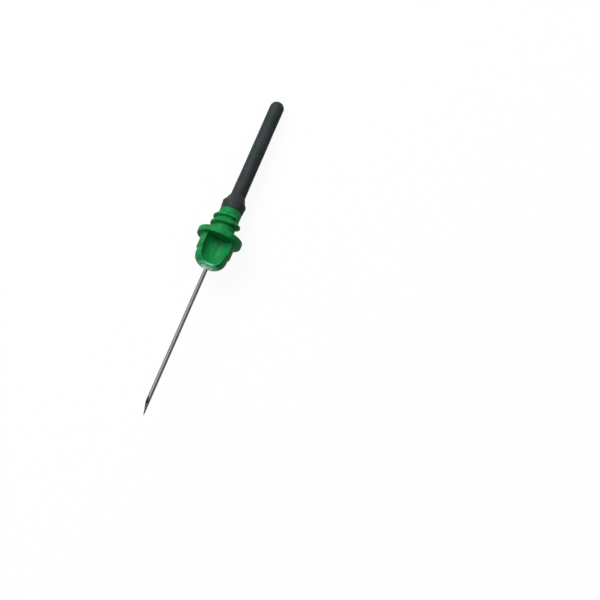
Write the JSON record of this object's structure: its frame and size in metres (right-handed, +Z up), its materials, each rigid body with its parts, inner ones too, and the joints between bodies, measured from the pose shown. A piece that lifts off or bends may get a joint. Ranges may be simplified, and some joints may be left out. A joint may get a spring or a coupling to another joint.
{
  "type": "blood collection needle",
  "caption": "Double-ended blood collection needle: steel tube with ground points, screw-in hub with flange and thumb scoops, and a closed rubber sleeve over the tube end.",
  "frame": {"origin": "on the surface that the needle lies on, under the middle of its box", "axes": "+Z up, +Y towards the closed end of the rubber sleeve, with the needle's axis in the YZ plane and its sleeve end 6.0 degrees lower than level, and +X across the flange"},
  "size_m": [0.0092, 0.0702, 0.0092],
  "materials": {
    "hub_plastic": "moulded, satin",
    "needle_steel": "drawn and ground",
    "sleeve_rubber": "moulded, satin",
    "clear_adhesive": "cured, glossy"
  },
  "bodies": {
    "root": {"needle_hub": "hub_plastic", "cannula": "needle_steel", "rubber_sleeve": "sleeve_rubber", "adhesive_bead": "clear_adhesive"}
  },
  "joints": []
}
